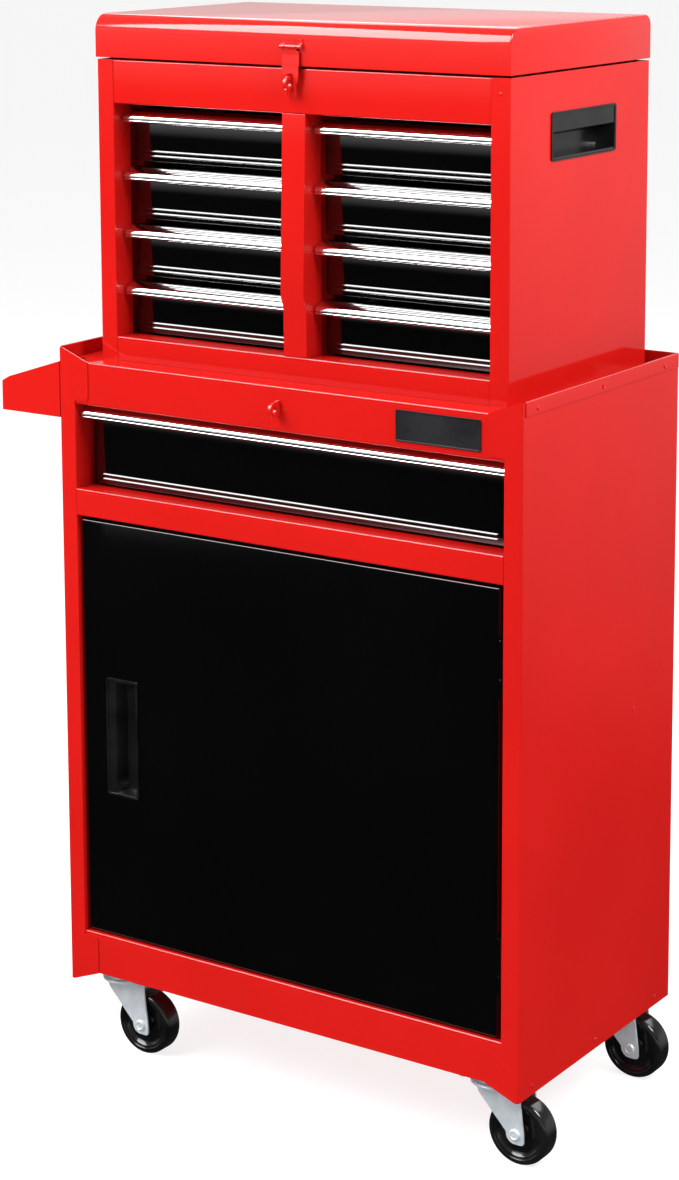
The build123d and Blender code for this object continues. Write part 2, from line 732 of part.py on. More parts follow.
def fork():
    """The pressed fork: a round crown with two legs that run back to the axle."""
    crown_foot = crown_head - crown_thickness
    outside = leg_inside + leg_sheet
    crown = rod((0, 0, crown_foot), (0, 0, 1), crown_radius, crown_thickness)
    crown += block((0, fork_reach), (-outside, outside), (crown_foot, crown_head))
    crown -= rod((0, 0, crown_foot - 1), (0, 0, 1), kingpin_radius + 0.1, crown_thickness + 2)
    axle = (caster_trail, wheel_radius)
    end = [
        (fork_front, crown_head),
        (fork_reach, crown_head),
        (caster_trail + leg_end, axle[1]),
        (caster_trail + leg_end, axle[1] - leg_end),
        (caster_trail - leg_end, axle[1] - leg_end),
        (caster_trail - leg_end, axle[1] + 1),
        (fork_front, crown_foot - 6),
    ]
    body = crown
    for low, high in ((-outside, -leg_inside), (leg_inside, outside)):
        leg = along_y(end, low, high, [(3, leg_end - 0.1), (4, leg_end - 0.1)])
        body += leg
    hole = rod((axle[0], -outside - 1, axle[1]), (0, 1, 0), axle_radius, 2 * outside + 2)
    pin = rod((axle[0], -outside, axle[1]), (0, 1, 0), axle_radius, 2 * outside)
    for start in (-outside - axle_head, outside):
        pin += rod((axle[0], start, axle[1]), (0, 1, 0), axle_head_radius, axle_head)
    return body - hole, pin


def wheel():
    """A moulded wheel with a rounded tread, dished faces and a hub."""
    half = wheel_width / 2
    hub = hub_width / 2
    outline = [
        (axle_radius + axle_play, -hub),
        (8.5, -hub),
        (9.5, -half + 4),
        (23, -half + 4),
        (25.5, -half),
        (wheel_radius, -half),
        (wheel_radius, half),
        (25.5, half),
        (23, half - 4),
        (9.5, half - 4),
        (8.5, hub),
        (axle_radius + axle_play, hub),
    ]
    face = make_face(Polyline(outline, close=True))
    face = rounded(face, outline, [(5, 4), (6, 4)])
    turned = Plane((0, 0, 0), x_dir=(1, 0, 0), z_dir=(0, 0, -1))
    ring = revolve(turned * face, Axis.Y, 360)
    return Pos(caster_trail, 0, wheel_radius) * ring


def casters():
    plates = []
    bolts = []
    forked, pin = fork()
    roller = wheel()
    for corner, (x, y) in caster_positions().items():
        place = Pos(x, y, 0)
        plates.append(place * top_plate())
        bolts += [place * bolt for bolt in plate_bolts()]
        nodes[f"caster_fork_{corner}"] = group([place * forked, place * pin])
        nodes[f"caster_wheel_{corner}"] = place * roller
    nodes["caster_plates"] = group(plates)
    nodes["caster_bolts"] = group(bolts)


def whole_box():
    """Lowest and highest corners of all the pieces together."""
    boxes = [shape.bounding_box() for shape in nodes.values()]
    low = [min(getattr(b.min, axis) for b in boxes) for axis in "XYZ"]
    high = [max(getattr(b.max, axis) for b in boxes) for axis in "XYZ"]
    return low, high


cabinet()
chest()
small_drawers()
wide_drawer()
nodes["lid"] = lid()
lid_hinges()
hasp()
door()
door_hinges()
side_tray()
casters()

low_corner, high_corner = whole_box()
origin_x = (low_corner[0] + high_corner[0]) / 2
origin_y = (low_corner[1] + high_corner[1]) / 2
to_origin = Pos(-origin_x, -origin_y, 0)

os.makedirs("parts", exist_ok=True)
for name, shape in nodes.items():
    moved = [to_origin * solid for solid in shape.solids()]
    export_step(moved[0] if len(moved) == 1 else Compound(moved), f"parts/{name}.step")
print(len(nodes), "nodes; box", [round(h - l, 2) for l, h in zip(low_corner, high_corner)])
print("origin at", round(origin_x, 3), round(origin_y, 3), "of the cabinet's own axes")
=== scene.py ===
"""Rolling tool chest: the looks of a two-piece steel tool chest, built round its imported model.

Every piece is modelled in millimetres, in the model's own frame, and is turned to metres when it is finished.
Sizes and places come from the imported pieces' boxes, through box(), and from the settings below.
"""
import json
import math

import bmesh
import bpy
from bpy.props import FloatProperty, FloatVectorProperty, IntProperty, PointerProperty
from mathutils import Matrix, Quaternion, Vector

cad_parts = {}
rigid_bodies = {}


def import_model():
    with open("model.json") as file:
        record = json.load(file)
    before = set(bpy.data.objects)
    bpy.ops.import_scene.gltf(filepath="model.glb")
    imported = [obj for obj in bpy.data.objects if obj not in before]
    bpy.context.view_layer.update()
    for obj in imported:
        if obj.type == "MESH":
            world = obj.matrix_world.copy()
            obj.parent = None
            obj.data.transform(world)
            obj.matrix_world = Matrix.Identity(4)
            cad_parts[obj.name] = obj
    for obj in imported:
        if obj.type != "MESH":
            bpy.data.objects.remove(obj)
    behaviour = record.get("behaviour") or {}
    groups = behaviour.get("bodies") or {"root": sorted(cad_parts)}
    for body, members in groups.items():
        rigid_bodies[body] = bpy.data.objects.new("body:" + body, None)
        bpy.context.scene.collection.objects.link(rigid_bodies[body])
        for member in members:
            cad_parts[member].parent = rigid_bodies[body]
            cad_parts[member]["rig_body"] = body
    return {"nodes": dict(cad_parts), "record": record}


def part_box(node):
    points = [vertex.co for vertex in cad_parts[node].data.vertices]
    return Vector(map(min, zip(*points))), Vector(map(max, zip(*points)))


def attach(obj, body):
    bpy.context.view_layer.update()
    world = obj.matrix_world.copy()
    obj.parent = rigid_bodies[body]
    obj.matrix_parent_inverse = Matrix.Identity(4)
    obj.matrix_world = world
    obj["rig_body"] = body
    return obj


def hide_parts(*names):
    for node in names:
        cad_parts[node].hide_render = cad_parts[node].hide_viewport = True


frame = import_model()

bl_info = {
    "name": "Rolling tool chest",
    "version": (1, 0, 0),
    "blender": (4, 5, 0),
    "location": "3D View > Sidebar > Tool Chest",
    "description": "Builds the finished pieces of a steel tool chest round its packed model",
    "category": "Object",
}

MM = 0.001
X_AXIS = Vector((1, 0, 0))
Y_AXIS = Vector((0, 1, 0))
Z_AXIS = Vector((0, 0, 1))
DRAWERS = [f"{side}_{row}" for side in ("left", "right") for row in (1, 2, 3, 4)]
CORNERS = ("front_left", "front_right", "back_left", "back_right")
SLOT_OF = {part["node"]: part["material_slot"] for part in frame["record"]["subparts"]}
# The finished material of each slot, filled by main().
FINISH = {}
# A fold sharper than this is an edge, which is shaded crisp and eased.
CREASE = math.radians(32.0)


# ------------------------------------------------------------------ settings
def length(name, description, default):
    """A length setting in millimetres."""
    return FloatProperty(name=name, description=description, default=default, min=0.0, precision=2)


def colour(name, description, default):
    """A colour setting, kept as linear RGB and given as an sRGB hex value."""
    return FloatVectorProperty(name=name, description=description, default=linear(default),
                               subtype="COLOR", size=3, min=0.0, max=1.0)


def linear(hex_value):
    """An sRGB hex colour such as 'E3242B' as linear RGB."""
    channels = [int(hex_value[i:i + 2], 16) / 255 for i in (0, 2, 4)]
    return tuple(c / 12.92 if c <= 0.04045 else ((c + 0.055) / 1.055) ** 2.4 for c in channels)


class ToolChestSizes(bpy.types.PropertyGroup):
    sheet: length("Sheet", "Thickness of the folded steel sheet, in mm", 1.0)
    eased_edge: length("Eased edge", "Rounding of a cut sheet edge under its paint, in mm", 0.3)
    lid_front: length("Lid front radius", "Radius of the lid's front fold, in mm", 16.0)
    lid_back: length("Lid back radius", "Radius of the lid's back fold, in mm", 11.0)
    lid_end: length("Lid end radius", "Rounding where the lid's ends meet its top, in mm", 1.3)
    front_corner: length("Drawer front corner", "Radius of a drawer front's upright corners, in mm", 5.0)
    bead_rise: length("Bead rise", "How far a swaged bead stands out of a drawer front, in mm", 0.9)
    bead_flank: length("Bead flank", "Height of a swaged bead's sloping upper side, in mm", 1.7)
    pull_nose: length("Pull nose radius", "Radius of a pull's rounded nose, in mm", 5.0)
    pull_slope: length("Pull slope", "Drop of a pull's sloping top to its nose, in mm", 6.5)
    rivet_head: length("Rivet head", "Diameter of a blind rivet's head, in mm", 6.4)
    wheel_steps: IntProperty(name="Wheel steps", description="Steps round a wheel", default=72, min=24)


class ToolChestColours(bpy.types.PropertyGroup):
    red: colour("Red", "Red powder coat", "B11410")
    red_deep: colour("Deep red", "Where the red coat lies thicker", "AB120F")
    black: colour("Black", "Black gloss enamel", "030303")
    black_deep: colour("Deep black", "Where the black enamel lies thicker", "020202")
    aluminium: colour("Aluminium", "Bright anodised aluminium", "E9E8E8")
    zinc: colour("Zinc", "Bright zinc plating", "E4EAEE")
    zinc_blue: colour("Zinc blue", "The passivated tint of the zinc", "D6DFE6")
    plastic: colour("Plastic", "Black moulded plastic", "080808")
    wheel: colour("Wheel", "Black wheel plastic", "0A0A0B")
    plate: colour("Plate", "Dark anodised name plate", "121214")
    floor: colour("Floor", "Pale studio floor", "8E8E8E")


class ToolChestStage(bpy.types.PropertyGroup):
    camera_place: FloatVectorProperty(name="Camera", description="Camera position", subtype="TRANSLATION",
                                      unit="LENGTH", size=3, default=(1.4817, -2.1837, 1.1932))
    azimuth: FloatProperty(name="Azimuth", description="Turn of the camera round the chest", subtype="ANGLE",
                           default=math.radians(34.111))
    elevation: FloatProperty(name="Elevation", description="Downward tilt of the camera", subtype="ANGLE",
                             default=math.radians(9.252))
    roll: FloatProperty(name="Roll", description="Roll of the camera", subtype="ANGLE",
                        default=math.radians(-0.225))
    lens: FloatProperty(name="Lens", description="Focal length in mm on a 36 mm sensor",
                        subtype="DISTANCE_CAMERA", default=84.079)
    shift: FloatProperty(name="Shift", description="Vertical lens shift, as a share of the long side",
                         default=-0.24)
    key_power: FloatProperty(name="Key", description="Power of the key light", subtype="POWER", unit="POWER",
                             default=242.0)
    side_power: FloatProperty(name="Side light", description="Power of the light on the chest's side",
                              subtype="POWER", unit="POWER", default=62.0)
    horizon: FloatProperty(name="Horizon", description="Brightness of the studio's pale walls", default=0.8)
    ceiling: FloatProperty(name="Ceiling", description="Brightness of the studio overhead", default=0.3)
    floor_glow: FloatProperty(name="Floor glow", description="Light that comes through the pale floor",
                              default=0.82)


# ------------------------------------------------------------------ materials
def add(tree, kind, links=(), **settings):
    """Adds a shader node. Settings name its attributes or, as in_NAME, its inputs; links is a list of
    (source node, output, this node's input)."""
    made = tree.nodes.new(kind)
    for name, value in settings.items():
        if name.startswith("in_"):
            made.inputs[name[3:].replace("_", " ")].default_value = value
        else:
            setattr(made, name, value)
    for source, output, entry in links:
        tree.links.new(source.outputs[output], made.inputs[entry])
    return made


def per_metre(size_mm):
    """The texture scale at which a pattern repeats every size_mm."""
    return 1.0 / (size_mm * MM)


def start(name):
    """A new material with its tree and a node of Object coordinates."""
    made = bpy.data.materials.new(name)
    made.use_nodes = True
    tree = made.node_tree
    tree.nodes.clear()
    return made, tree, add(tree, "ShaderNodeTexCoord")


def close(tree, shader):
    """Links the finished shader to the material's output."""
    add(tree, "ShaderNodeOutputMaterial", [(shader, "BSDF", "Surface")])


def rgba(values):
    """Linear RGB with full alpha."""
    return (*values, 1.0)


def two_tone(tree, place, size_mm, low, high, detail=2.0):
    """A slow drift between two colours, in patches about size_mm across."""
    drift = add(tree, "ShaderNodeTexNoise", [(place, "Object", "Vector")], in_Scale=per_metre(size_mm),
                in_Detail=detail)
    ramp = add(tree, "ShaderNodeValToRGB", [(drift, "Fac", "Fac")])
    ramp.color_ramp.elements[0].position = 0.35
    ramp.color_ramp.elements[1].position = 0.65
    ramp.color_ramp.elements[0].color = rgba(low)
    ramp.color_ramp.elements[1].color = rgba(high)
    return ramp


def spread(tree, source, output, low, high):
    """A 0 to 1 pattern stretched to run from low to high."""
    return add(tree, "ShaderNodeMapRange", [(source, output, "Value")], in_From_Min=0.3, in_From_Max=0.7,
               in_To_Min=low, in_To_Max=high)


def powder_coat(name, low, high, roughness, ior):
    """Electrostatic powder on steel, melted in an oven: an even, hard, glossy skin with faint orange peel."""
    made, tree, place = start(name)
    tone = two_tone(tree, place, 180.0, low, high)
    # Handling leaves broad, barely duller areas in the gloss.
    haze = add(tree, "ShaderNodeTexNoise", [(place, "Object", "Vector")], in_Scale=per_metre(60.0),
               in_Detail=3.0)
    rough = spread(tree, haze, "Fac", roughness * 0.94, roughness * 1.08)
    # The melted powder's ripple is about 2 mm across. It bends a reflection and leaves the colour alone.
    peel = add(tree, "ShaderNodeTexNoise", [(place, "Object", "Vector")], in_Scale=per_metre(2.2),
               in_Detail=1.5)
    ripple = add(tree, "ShaderNodeBump", [(peel, "Fac", "Height")], in_Strength=0.10, in_Distance=0.00006)
    shader = add(tree, "ShaderNodeBsdfPrincipled",
                 [(tone, "Color", "Base Color"), (rough, "Result", "Roughness"), (ripple, "Normal", "Normal")],
                 in_IOR=ior)
    close(tree, shader)
    return made


def anodised_aluminium(name, tone):
    """Extruded aluminium, brightened and anodised: a mirror drawn out along the length by fine die lines."""
    made, tree, place = start(name)
    # Die lines run along the pull, so the pattern is stretched 80 times along X. Real ones are about 0.1 mm
    # apart, and are drawn 0.7 mm apart so that they show.
    along = add(tree, "ShaderNodeMapping", [(place, "Object", "Vector")], in_Scale=(0.0125, 1.0, 1.0))
    lines = add(tree, "ShaderNodeTexNoise", [(along, "Vector", "Vector")], in_Scale=per_metre(0.7),
                in_Detail=4.0)
    ramp = add(tree, "ShaderNodeValToRGB", [(lines, "Fac", "Fac")])
    ramp.color_ramp.elements[0].position = 0.3
    ramp.color_ramp.elements[1].position = 0.6
    ramp.color_ramp.elements[0].color = rgba([c * 0.86 for c in tone])
    ramp.color_ramp.elements[1].color = rgba(tone)
    rough = spread(tree, lines, "Fac", 0.05, 0.11)
    groove = add(tree, "ShaderNodeBump", [(lines, "Fac", "Height")], in_Strength=0.15, in_Distance=0.00003)
    shader = add(tree, "ShaderNodeBsdfPrincipled",
                 [(ramp, "Color", "Base Color"), (rough, "Result", "Roughness"), (groove, "Normal", "Normal")],
                 in_Metallic=1.0)
    close(tree, shader)
    return made


def zinc_plating(name, low, high):
    """Pressed steel with bright zinc plating: a cool, slightly cloudy metal with faint press marks."""
    made, tree, place = start(name)
    tone = two_tone(tree, place, 9.0, low, high, 3.0)
    cloud = add(tree, "ShaderNodeTexNoise", [(place, "Object", "Vector")], in_Scale=per_metre(7.0),
                in_Detail=2.0)
    rough = spread(tree, cloud, "Fac", 0.36, 0.46)
    press = add(tree, "ShaderNodeBump", [(cloud, "Fac", "Height")], in_Strength=0.05, in_Distance=0.00005)
    shader = add(tree, "ShaderNodeBsdfPrincipled",
                 [(tone, "Color", "Base Color"), (rough, "Result", "Roughness"), (press, "Normal", "Normal")],
                 in_Metallic=0.6)
    close(tree, shader)
    return made


def moulded_plastic(name, tone, grain_mm, roughness, ior):
    """Injection-moulded plastic: the mould's texture, grain_mm across, breaks up an otherwise smooth gloss."""
    made, tree, place = start(name)
    lighter = [min(1.0, c * 1.6 + 0.002) for c in tone]
    shade = two_tone(tree, place, 25.0, tone, lighter)
    grain = add(tree, "ShaderNodeTexNoise", [(place, "Object", "Vector")], in_Scale=per_metre(grain_mm),
                in_Detail=2.0)
    rough = spread(tree, grain, "Fac", roughness * 0.8, roughness * 1.25)
    texture = add(tree, "ShaderNodeBump", [(grain, "Fac", "Height")], in_Strength=0.15, in_Distance=0.00005)
    shader = add(tree, "ShaderNodeBsdfPrincipled",
                 [(shade, "Color", "Base Color"), (rough, "Result", "Roughness"), (texture, "Normal", "Normal")],
                 in_IOR=ior)
    close(tree, shader)
    return made


def studio_floor(name, tone, glow):
    """Matt translucent sweep, lit a little from below: even and pale, so that shadows stay soft."""
    made, tree, place = start(name)
    shade = two_tone(tree, place, 900.0, [c * 0.985 for c in tone], tone)
    shader = add(tree, "ShaderNodeBsdfPrincipled", [(shade, "Color", "Base Color")], in_Roughness=0.9,
                 in_Specular_IOR_Level=0.1, in_Emission_Color=(1.0, 1.0, 1.0, 1.0), in_Emission_Strength=glow)
    close(tree, shader)
    return made


def materials():
    """One finish for each material slot of the record."""
    c = bpy.context.scene.tool_chest_colours
    # Spark-eroded moulds leave a texture of about 0.1 mm, drawn at 0.6 to 0.8 mm so that it shows. The wheels'
    # mould is polished, and leaves only flow marks of about 3 mm.
    return {
        "red_powder_coat": powder_coat("Red powder-coated steel", c.red_deep, c.red, 0.09, 1.5),
        "black_powder_coat": powder_coat("Black gloss-enamelled steel", c.black_deep, c.black, 0.07, 1.8),
        "bright_aluminium": anodised_aluminium("Bright anodised aluminium", c.aluminium),
        "black_plastic": moulded_plastic("Black ABS moulding", c.plastic, 0.8, 0.2, 1.53),
        "grey_plate": moulded_plastic("Dark anodised name plate", c.plate, 0.6, 0.32, 1.5),
        "wheel_plastic": moulded_plastic("Black polypropylene wheel", c.wheel, 3.0, 0.16, 1.49),
        "zinc_plate": zinc_plating("Zinc-plated pressed steel", c.zinc_blue, c.zinc),
    }


# ------------------------------------------------------------------ modelling helpers
def box(node):
    """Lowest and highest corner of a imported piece, in millimetres."""
    low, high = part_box(node)
    return low / MM, high / MM


def point(axis, along, pair):
    """A point from its place along one axis and its two places across it, in axis order."""
    a, b = pair
    return Vector({"x": (along, a, b), "y": (a, along, b), "z": (a, b, along)}[axis])


def unit(axis):
    """The unit vector of a named axis."""
    return {"x": X_AXIS, "y": Y_AXIS, "z": Z_AXIS}[axis]


def near(a, b):
    """Whether two places on an axis are the same."""
    return abs(a - b) < 0.01


def arc(centre, radius, start_angle, end_angle, steps):
    """Points on an arc, with its angles in degrees."""
    angles = [math.radians(start_angle + (end_angle - start_angle) * i / steps) for i in range(steps + 1)]
    return [(centre[0] + radius * math.cos(a), centre[1] + radius * math.sin(a)) for a in angles]


def new_verts(made):
    """The vertices that a bmesh operator made."""
    return [part for part in made["geom"] if isinstance(part, bmesh.types.BMVert)]


def bevel(bm, edges, radius, segments):
    """Rounds edges."""
    bmesh.ops.bevel(bm, geom=edges, offset=radius, offset_type="OFFSET", segments=segments, profile=0.5,
                    affect="EDGES", clamp_overlap=True, material=-1)


def edges_at(bm, test):
    """The edges whose two ends both pass a test on their place."""
    return [e for e in bm.edges if all(test(v.co) for v in e.verts)]


def prism(bm, axis, low, high, outline, rounds=()):
    """Pulls a closed outline along an axis. Rounds is a list of (corner number, radius, segments)."""
    verts = [bm.verts.new(point(axis, low, pair)) for pair in outline]
    face = bm.faces.new(verts)
    made = bmesh.ops.extrude_face_region(bm, geom=[face])
    bmesh.ops.translate(bm, vec=unit(axis) * (high - low), verts=new_verts(made))
    for corner, radius, segments in rounds:
        spot = point(axis, 0.0, outline[corner])
        flat = Vector((1, 1, 1)) - unit(axis)
        edge = edges_at(bm, lambda co: ((co - spot) * flat).length < 0.001)
        bevel(bm, edge, radius, segments)


def cuboid(bm, low, high):
    """A box between two corners."""
    size = Vector(high) - Vector(low)
    centre = (Vector(high) + Vector(low)) / 2
    place = Matrix.Translation(centre) @ Matrix.Diagonal((*size, 1.0))
    bmesh.ops.create_cube(bm, size=1.0, matrix=place)


def disc(bm, centre, direction, radius, thickness, segments=48, top_radius=None):
    """A round bar or a cone's frustum from a centre point along a direction. Returns its vertices."""
    direction = Vector(direction).normalized()
    turn = Z_AXIS.rotation_difference(direction).to_matrix().to_4x4()
    middle = Vector(centre) + direction * (thickness / 2)
    top_radius = radius if top_radius is None else top_radius
    made = bmesh.ops.create_cone(bm, cap_ends=True, segments=segments, radius1=radius, radius2=top_radius,
                                 depth=thickness, matrix=Matrix.Translation(middle) @ turn)
    return made["verts"]


def domed_head(bm, centre, direction, radius, rise, dimple=0.0):
    """A rivet or screw head: a low dome on a face, with a dimple in its crown if one is asked for."""
    direction = Vector(direction).normalized()
    verts = disc(bm, centre, direction, radius, rise, 24)
    crown = [v for v in verts if (v.co - Vector(centre)).dot(direction) > rise * 0.5]
    top = next(f for f in crown[0].link_faces if all(v in crown for v in f.verts))
    bevel(bm, list(top.edges), min(rise, radius) * 0.8, 3)
    if dimple:
        top = max((f for v in bm.verts for f in v.link_faces
                   if (f.calc_center_median() - Vector(centre)).length < rise * 1.2
                   and f.normal.dot(direction) > 0.9), key=lambda f: f.calc_area())
        bmesh.ops.inset_region(bm, faces=[top], thickness=radius * 0.12, depth=-dimple)


def remove_faces(bm, test):
    """Deletes the faces whose middle and normal pass a test."""
    bm.normal_update()
    gone = [f for f in bm.faces if test(f.calc_center_median(), f.normal)]
    bmesh.ops.delete(bm, geom=gone, context="FACES")


def thicken(bm, thickness):
    """Gives an open shell its wall, on the side its faces point away from."""
    bmesh.ops.remove_doubles(bm, verts=bm.verts, dist=0.0005)
    bmesh.ops.recalc_face_normals(bm, faces=bm.faces)
    bmesh.ops.solidify(bm, geom=bm.faces[:], thickness=thickness)


def cut(bm, spot, normal):
    """Cuts every face across a plane and keeps both sides."""
    bmesh.ops.bisect_plane(bm, geom=bm.verts[:] + bm.edges[:] + bm.faces[:], plane_co=spot, plane_no=normal,
                           dist=0.0001)


def window(bm, low, high, axis):
    """Cuts a rectangular hole through a sheet that lies across an axis, between two corners."""
    for across in (X_AXIS, Y_AXIS, Z_AXIS):
        if across != unit(axis):
            cut(bm, low, across)
            cut(bm, high, across)
    remove_faces(bm, lambda co, normal: all(low[i] < co[i] < high[i] for i in range(3)))


def finish(bm, name, body, slot, replaces=(), edge=0.0, metres=False):
    """Turns a mesh into a finished piece that rides on a body and takes a material slot's finish. Edge is the
    rounding of its edges in millimetres, and metres says that the mesh is in metres with its normals right."""
    bmesh.ops.remove_doubles(bm, verts=bm.verts, dist=0.0005 * (MM if metres else 1.0))
    if not metres:
        bmesh.ops.recalc_face_normals(bm, faces=bm.faces)
        bmesh.ops.scale(bm, vec=(MM, MM, MM), verts=bm.verts)
    mesh = bpy.data.meshes.new(name)
    bm.to_mesh(mesh)
    bm.free()
    mesh.shade_smooth()
    mesh.set_sharp_from_angle(angle=CREASE)
    piece = bpy.data.objects.new(name, mesh)
    bpy.context.scene.collection.objects.link(piece)
    mesh.materials.append(FINISH[slot])
    if edge:
        eased = piece.modifiers.new("Eased edges", "BEVEL")
        eased.width = edge * MM
        eased.segments = 2
        eased.limit_method = "ANGLE"
        eased.angle_limit = CREASE
        eased.harden_normals = True
    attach(piece, body)
    if replaces:
        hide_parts(*replaces)


def body_of(node):
    """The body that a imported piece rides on."""
    return frame["nodes"][node]["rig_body"]


def carry(node, edge):
    """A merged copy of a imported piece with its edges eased, which stands for it."""
    bm = bmesh.new()
    bm.from_mesh(frame["nodes"][node].data)
    bmesh.ops.remove_doubles(bm, verts=bm.verts, dist=0.000001)
    bmesh.ops.dissolve_limit(bm, angle_limit=math.radians(0.4), verts=bm.verts, edges=bm.edges)
    finish(bm, f"{node}_finished", body_of(node), SLOT_OF[node], [node], edge, metres=True)


# ------------------------------------------------------------------ pieces
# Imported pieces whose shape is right, by the rounding of their edges in millimetres.
CARRIED = {
    0.45: ["cabinet_side_left", "cabinet_side_right", "cabinet_back", "cabinet_floor", "cabinet_well",
          "cabinet_rails", "side_tray", "chest_side_left", "chest_side_right", "chest_back", "chest_bottom",
          "chest_rails", "chest_centre_post", "chest_tray_floor", "chest_slide_posts", "door_inner_panel"],
    0.2: ["cabinet_runners", "chest_runners", "lid_hinge_chest_halves", "lid_hinge_lid_leaves",
          "door_hinge_frame_halves", "door_hinge_door_leaves", "hasp_bracket", "door_catch", "caster_plates",
          "caster_bolts"],
    0.5: ["cabinet_staple", "chest_staple"],
}


def make_lid():
    """A top folded down at the front and back, with welded ends ground round."""
    s = bpy.context.scene.tool_chest_sizes
    low, high = box("lid")
    bm = bmesh.new()
    cuboid(bm, low, high)
    for y, radius, segments in ((low.y, s.lid_front, 14), (high.y, s.lid_back, 10)):
        bevel(bm, edges_at(bm, lambda co: near(co.y, y) and near(co.z, high.z)), radius, segments)
    remove_faces(bm, lambda co, normal: normal.z < -0.9)
    for x in (low.x, high.x):
        bevel(bm, edges_at(bm, lambda co: near(co.x, x) and co.z > low.z - 1.0), s.lid_end, 3)
    thicken(bm, s.sheet)
    finish(bm, "lid_shell", "lid", "red_powder_coat", ["lid"], s.eased_edge)


def make_hasp():
    """The flap: a rolled knuckle, a leaf that bends forward, and an open slot between two rounded legs."""
    low, high = box("hasp_flap")
    middle = (low.x + high.x) / 2
    leaf = 1.2
    knuckle = 2.0
    neck = 6.6
    half = (high.x - low.x) / 2
    leg_taper = 2.3
    slot = 3.2
    pin_z = high.z - knuckle
    face = high.y - knuckle
    shoulder = pin_z - 4.0
    taper = pin_z - 29.8
    slot_head = pin_z - 24.8
    bend_top = pin_z - 15.5
    bend_foot = pin_z - 19.0
    bend = 1.3
    left = [(-neck, pin_z), (-neck, shoulder), (-half, shoulder - 1), (-half, taper),
            (leg_taper - half, taper - 5), (leg_taper - half, low.z), (-slot, low.z), (-slot, slot_head)]
    outline = [(middle + x, z) for x, z in left + [(-x, z) for x, z in reversed(left)]]
    rounds = [(2, 1, 3), (13, 1, 3), (3, 3, 5), (12, 3, 5), (5, 2.4, 6), (10, 2.4, 6), (7, 2.4, 6), (8, 2.4, 6)]
    bm = bmesh.new()
    prism(bm, "y", face - leaf / 2, face + leaf / 2, outline, rounds)
    for z in (bend_top, bend_foot):
        cut(bm, (middle, face, z), Z_AXIS)
    forward = [v for v in bm.verts if v.co.z < bend_foot + 1.0]
    bmesh.ops.translate(bm, vec=(0, -bend, 0), verts=forward)
    disc(bm, (middle - neck, face, pin_z), X_AXIS, knuckle, 2 * neck, 24)
    finish(bm, "hasp_leaf", "hasp", "red_powder_coat", ["hasp_flap"], 0.3)


def make_drawer(node, box_inset, name):
    """A drawer folded from one sheet: a front pan with two swaged beads, and a tub with turned-out edges."""
    s = bpy.context.scene.tool_chest_sizes
    low, high = box(node)
    body, slot = body_of(node), SLOT_OF[node]
    front = low.y + s.bead_rise
    back = front + 12.0
    pan_edge = 0.9
    bm = bmesh.new()
    cuboid(bm, (low.x, front, low.z), (high.x, back, high.z))
    for x in (low.x, high.x):
        bevel(bm, edges_at(bm, lambda co: near(co.x, x) and near(co.y, front)), s.front_corner, 7)
    remove_faces(bm, lambda co, normal: normal.y > 0.9)
    for z in (low.z, high.z):
        bevel(bm, edges_at(bm, lambda co: near(co.z, z) and co.y < back - 0.01), pan_edge, 3)
    thicken(bm, s.sheet)
    finish(bm, f"{name}_front", body, slot, [node], s.eased_edge * 0.8)

    bead_inset = 10.0
    run_out = 1.6
    underside = 0.9
    root = front + 0.1
    bm = bmesh.new()
    for rise in (4.8, 9.3):
        z = low.z + rise
        ridge = [(root, z + s.bead_flank), (low.y, z - 0.1), (root, z - underside)]
        prism(bm, "x", low.x + bead_inset, high.x - bead_inset, ridge, [(1, 0.6, 5)])
    middle = (low.x + high.x) / 2
    for v in bm.verts:
        if v.co.y < front - 0.2:
            v.co.x += run_out if v.co.x < middle else -run_out
    finish(bm, f"{name}_beads", body, slot)

    top = high.z - 13.6
    left, right = low.x + box_inset, high.x - box_inset
    bm = bmesh.new()
    cuboid(bm, (left, back - 1, low.z + 1), (right, high.y, top))
    remove_faces(bm, lambda co, normal: normal.z > 0.9)
    thicken(bm, s.sheet)
    finish(bm, f"{name}_tub", body, slot, (), s.eased_edge * 0.8)

    slide_reach = 4.8
    strap_inset = 30.0
    strap_half = 9
    bm = bmesh.new()
    for edge_x, outward in ((left, -1), (right, 1)):
        ends = sorted((edge_x - outward * 0.2, edge_x + outward * slide_reach))
        cuboid(bm, (ends[0], back + 8.0, top - 1.0), (ends[1], high.y, top))
    for x in (left + strap_inset, right - strap_inset):
        prism(bm, "z", low.z + 2.0, high.z - 1.2,
              [(x - strap_half, back - 0.8), (x + strap_half, back - 0.8), (x + strap_half, back + 0.2),
               (x - strap_half, back + 0.2)])
    finish(bm, f"{name}_slides", body, slot, (), 0.2)


